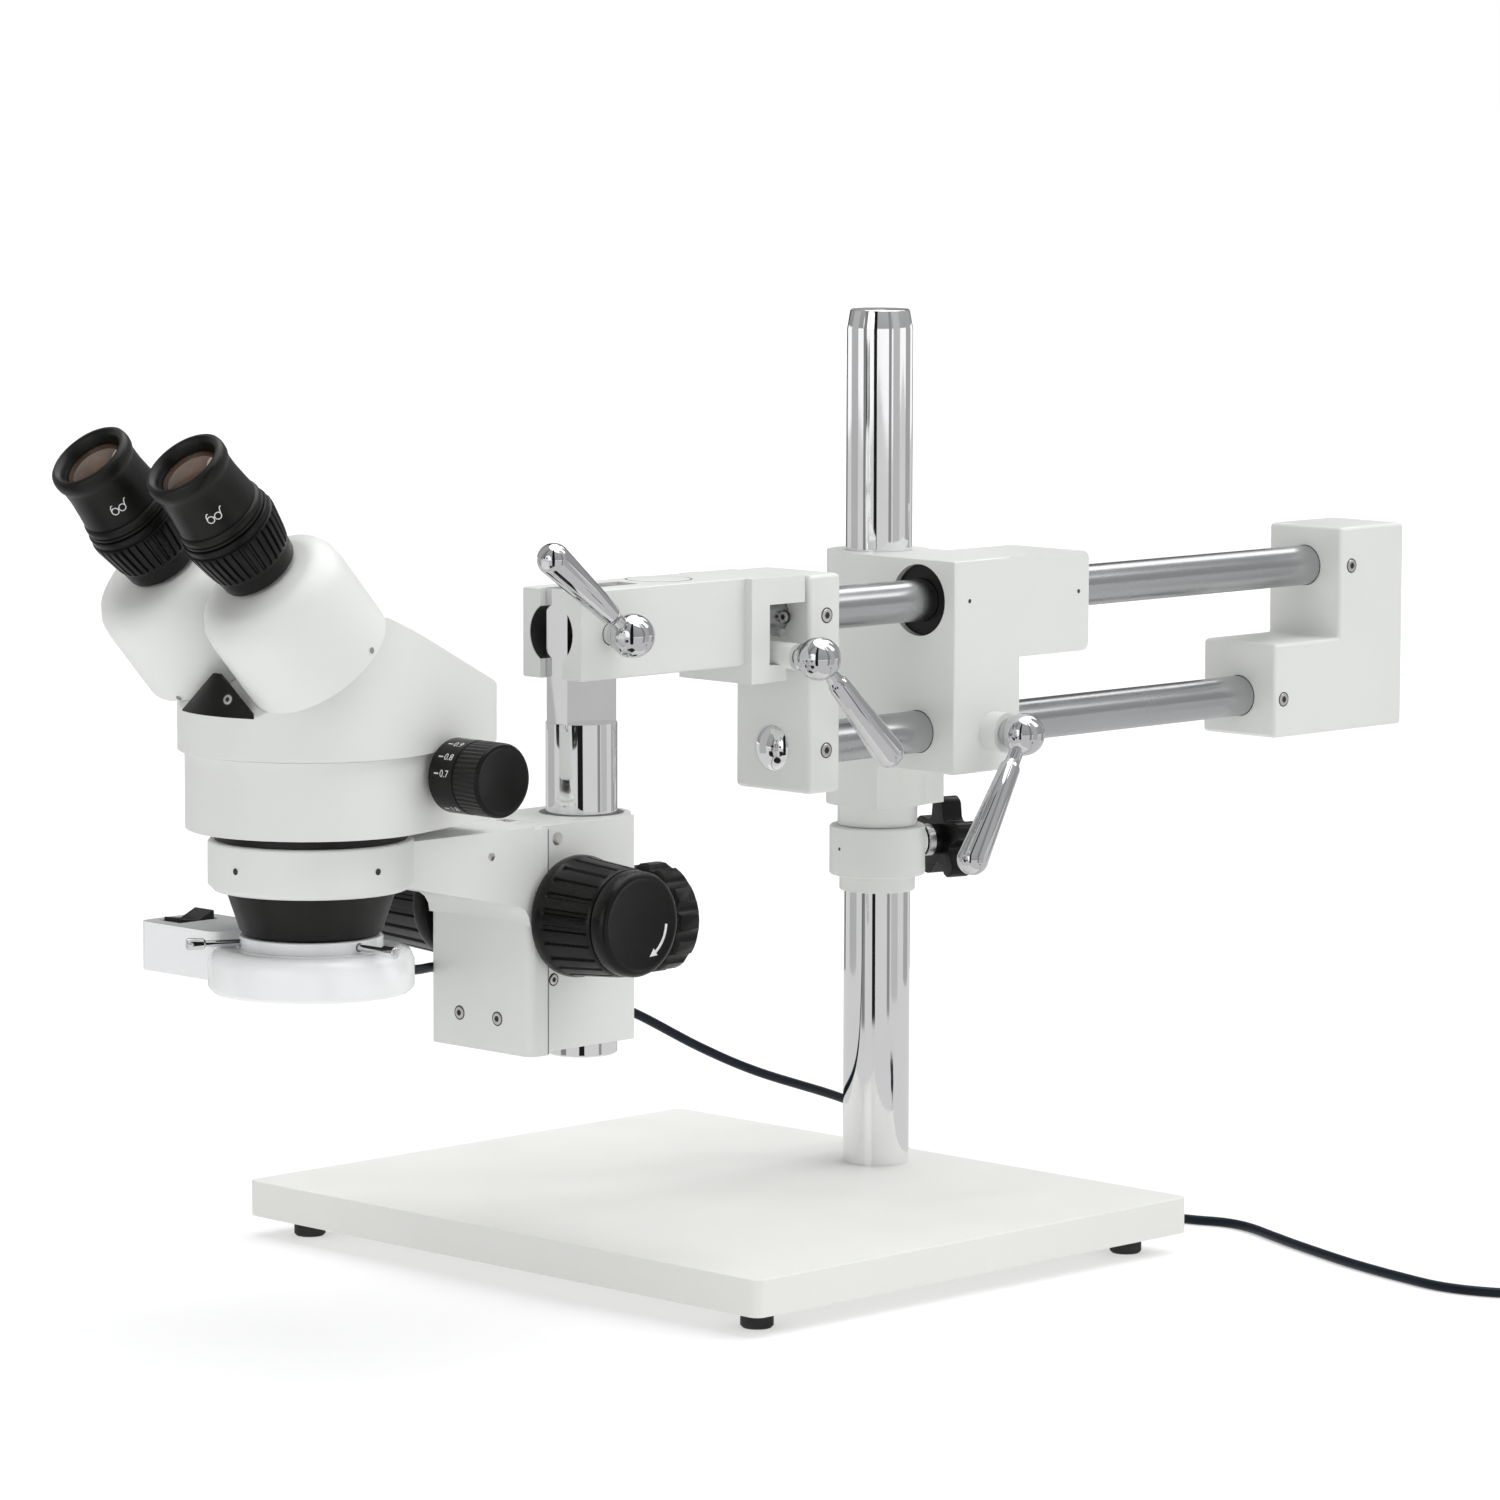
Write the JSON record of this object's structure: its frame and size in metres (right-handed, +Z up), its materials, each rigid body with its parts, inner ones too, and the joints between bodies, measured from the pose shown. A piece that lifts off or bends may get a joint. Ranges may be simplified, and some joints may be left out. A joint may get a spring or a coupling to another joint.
{
  "type": "stereo microscope",
  "caption": "Stereo microscope head with ring light on a double-rod boom stand: a swinging, sliding, tilting arm on a pillar and a heavy flat base.",
  "frame": {"origin": "on the table, under the middle of the microscope's box without its cord", "axes": "+X to the user's right, +Y away from the user along the boom, +Z up"},
  "size_m": [0.6208, 0.8237, 0.4403],
  "materials": {
    "white_paint": "satin cool white enamel",
    "chrome": "bright chrome plate",
    "satin_steel": "ground steel",
    "brass": "machined",
    "black_plastic": "satin black",
    "black_metal": "satin black",
    "rubber": "matt",
    "white_plastic": "glossy white",
    "frosted_plastic": "frosted",
    "circuit_board": "solder mask",
    "glass": "coated lens",
    "cord_jacket": "blue-black vinyl"
  },
  "bodies": {
    "stand": {"base_plate": "white_paint", "foot_front_right": "rubber", "foot_front_left": "rubber", "foot_rear_right": "rubber", "foot_rear_left": "rubber", "pillar": "chrome", "pillar_bolt": "satin_steel", "cord_tube": "cord_jacket", "cord_coil": "cord_jacket", "cord_plug": "black_plastic"},
    "collar": {"safety_collar": "white_paint"},
    "collar_knob": {"collar_knob": "black_plastic"},
    "boom_block": {"boom_block": "white_paint", "rod_bushing": "black_plastic"},
    "boom_lock_lever": {"boom_lock_lever": "chrome"},
    "boom": {"upper_rod": "satin_steel", "lower_rod": "satin_steel", "front_plate": "white_paint", "rear_block": "white_paint", "rod_end_cap": "chrome"},
    "arm": {"roll_arm": "white_paint", "tilt_bolt": "chrome"},
    "roll_lock_lever": {"roll_lock_lever": "chrome"},
    "tilt_lock_lever": {"tilt_lock_lever": "chrome"},
    "drop_post": {"drop_post": "chrome"},
    "post_bush": {"post_bush": "black_plastic"},
    "focus_housing": {"focus_housing": "white_paint"},
    "housing_lock_knob": {"housing_lock_knob": "black_plastic"},
    "pinion": {"pinion_shaft": "satin_steel", "focus_knob_right": "black_plastic", "focus_knob_left": "black_plastic"},
    "tension_cap": {"tension_cap": "black_plastic"},
    "carriage": {"focus_carriage": "white_paint", "focus_rack": "brass"},
    "head": {"head_lower_body": "white_paint", "head_upper_body": "white_paint", "mount_ring": "black_metal", "nose_cone": "black_metal", "objective_lens": "glass", "prism_gap_cover": "black_plastic"},
    "zoom_control": {"zoom_shaft": "satin_steel", "zoom_knob_right": "black_plastic", "zoom_knob_left": "black_plastic"},
    "prism_right": {"prism_housing_right": "white_paint"},
    "prism_left": {"prism_housing_left": "white_paint"},
    "diopter_right": {"diopter_tube_right": "black_plastic"},
    "diopter_left": {"diopter_tube_left": "black_plastic"},
    "eyepiece_right": {"eyepiece_right": "black_plastic", "eye_lens_right": "glass"},
    "eyepiece_left": {"eyepiece_left": "black_plastic", "eye_lens_left": "glass"},
    "ring_light": {"ring_light_body": "white_plastic", "light_board": "circuit_board", "light_diffuser": "frosted_plastic", "cord_gland": "black_plastic"},
    "rocker_switch": {"rocker_switch": "black_plastic"},
    "thumbscrew_right": {"thumbscrew_right": "chrome"},
    "thumbscrew_rear": {"thumbscrew_rear": "chrome"},
    "thumbscrew_left": {"thumbscrew_left": "chrome"}
  },
  "joints": [
    {"name": "collar_slide", "type": "slide", "parent": "stand", "child": "collar", "axis": [0, 0, 1], "range_m": [-0.05, 0.09], "deforming": ["cord_tube"]},
    {"name": "collar_screw", "type": "hinge", "parent": "collar", "child": "collar_knob", "pos_m": [0.00899, 0.12928, 0.182], "axis": [0.2588, 0.9659, 0], "range_deg": [-360, 360]},
    {"name": "boom_swing", "type": "hinge", "parent": "collar", "child": "boom_block", "pos_m": [0.002, 0.1032, 0.3], "axis": [0, 0, 1], "range_deg": [-180, 180], "deforming": ["cord_tube"]},
    {"name": "boom_lock", "type": "hinge", "parent": "boom_block", "child": "boom_lock_lever", "pos_m": [0.062, 0.1056, 0.2424], "axis": [1, 0, 0], "range_deg": [0, 70]},
    {"name": "boom_slide", "type": "slide", "parent": "boom_block", "child": "boom", "axis": [0, 1, 0], "range_m": [-0.18, 0.06], "deforming": ["cord_tube"]},
    {"name": "arm_roll", "type": "hinge", "parent": "boom", "child": "arm", "pos_m": [0.052, -0.0228, 0.305], "axis": [0, 1, 0], "range_deg": [-45, 10], "deforming": ["cord_tube"]},
    {"name": "roll_lock", "type": "hinge", "parent": "arm", "child": "roll_lock_lever", "pos_m": [0.06, -0.0338, 0.288], "axis": [1, 0, 0], "range_deg": [0, 70]},
    {"name": "tilt_lock", "type": "hinge", "parent": "arm", "child": "tilt_lock_lever", "pos_m": [0.077, -0.142, 0.305], "axis": [1, 0, 0], "range_deg": [0, 70]},
    {"name": "post_tilt", "type": "hinge", "parent": "arm", "child": "drop_post", "pos_m": [0.052, -0.142, 0.305], "axis": [1, 0, 0], "range_deg": [-35, 25], "deforming": ["cord_tube"]},
    {"name": "post_slide", "type": "slide", "parent": "drop_post", "child": "post_bush", "axis": [0, 0, 1], "range_m": [-0.03, 0.036], "deforming": ["cord_tube"]},
    {"name": "post_swing", "type": "hinge", "parent": "post_bush", "child": "focus_housing", "pos_m": [0.052, -0.142, 0.171], "axis": [0, 0, 1], "range_deg": [-90, 90], "deforming": ["cord_tube"]},
    {"name": "post_lock", "type": "hinge", "parent": "focus_housing", "child": "housing_lock_knob", "pos_m": [0.052, -0.142, 0.171], "axis": [0, 1, 0], "range_deg": [-360, 360]},
    {"name": "focus_slide", "type": "slide", "parent": "focus_housing", "child": "carriage", "axis": [0, 0, 1], "range_m": [-0.025, 0.025], "deforming": ["cord_tube"]},
    {"name": "focus_turn", "type": "hinge", "parent": "focus_housing", "child": "pinion", "pos_m": [0.052, -0.18, 0.1835], "axis": [1, 0, 0], "range_deg": [-290, 290]},
    {"name": "tension_turn", "type": "hinge", "parent": "pinion", "child": "tension_cap", "pos_m": [0.122, -0.18, 0.1835], "axis": [1, 0, 0], "range_deg": [-45, 180]},
    {"name": "head_turn", "type": "hinge", "parent": "carriage", "child": "head", "pos_m": [0.052, -0.3036, 0.2259], "axis": [0, 0, 1], "continuous": true, "deforming": ["cord_tube"]},
    {"name": "zoom_turn", "type": "hinge", "parent": "head", "child": "zoom_control", "pos_m": [0.052, -0.2687, 0.255], "axis": [1, 0, 0], "range_deg": [-135, 135]},
    {"name": "spread_right", "type": "hinge", "parent": "head", "child": "prism_right", "pos_m": [0.086, -0.3539, 0.3364], "axis": [0, -0.6691, 0.7431], "range_deg": [-12, 12]},
    {"name": "spread_left", "type": "hinge", "parent": "head", "child": "prism_left", "pos_m": [0.018, -0.3539, 0.3364], "axis": [0, -0.6691, 0.7431], "range_deg": [-12, 12]},
    {"name": "diopter_right_turn", "type": "hinge", "parent": "prism_right", "child": "diopter_right", "pos_m": [0.083, -0.35719, 0.34663], "axis": [0, -0.6691, 0.7431], "range_deg": [-60, 60]},
    {"name": "diopter_left_turn", "type": "hinge", "parent": "prism_left", "child": "diopter_left", "pos_m": [0.021, -0.35719, 0.34663], "axis": [0, -0.6691, 0.7431], "range_deg": [-60, 60]},
    {"name": "eyepiece_right_draw", "type": "slide", "parent": "diopter_right", "child": "eyepiece_right", "axis": [0, -0.6691, 0.7431], "range_m": [0, 0.025]},
    {"name": "eyepiece_left_draw", "type": "slide", "parent": "diopter_left", "child": "eyepiece_left", "axis": [0, -0.6691, 0.7431], "range_m": [0, 0.025]},
    {"name": "light_turn", "type": "hinge", "parent": "head", "child": "ring_light", "pos_m": [0.052, -0.3036, 0.17], "axis": [0, 0, 1], "continuous": true, "deforming": ["cord_tube"]},
    {"name": "switch_rock", "type": "hinge", "parent": "ring_light", "child": "rocker_switch", "pos_m": [-0.02975, -0.3036, 0.1795], "axis": [1, 0, 0], "range_deg": [-14, 0]},
    {"name": "thumbscrew_right_turn", "type": "hinge", "parent": "ring_light", "child": "thumbscrew_right", "pos_m": [0.0833, -0.3036, 0.1812], "axis": [1, 0, 0], "range_deg": [-360, 360]},
    {"name": "thumbscrew_rear_turn", "type": "hinge", "parent": "ring_light", "child": "thumbscrew_rear", "pos_m": [0.03635, -0.27649, 0.1812], "axis": [-0.5, 0.866, 0], "range_deg": [-360, 360]},
    {"name": "thumbscrew_left_turn", "type": "hinge", "parent": "ring_light", "child": "thumbscrew_left", "pos_m": [0.03635, -0.33071, 0.1812], "axis": [-0.5, -0.866, 0], "range_deg": [-360, 360]}
  ],
  "couplings": [
    {"joint": "focus_turn", "follows": "focus_slide", "rad_per_m": -201.38},
    {"joint": "spread_left", "follows": "spread_right", "ratio": -1}
  ]
}
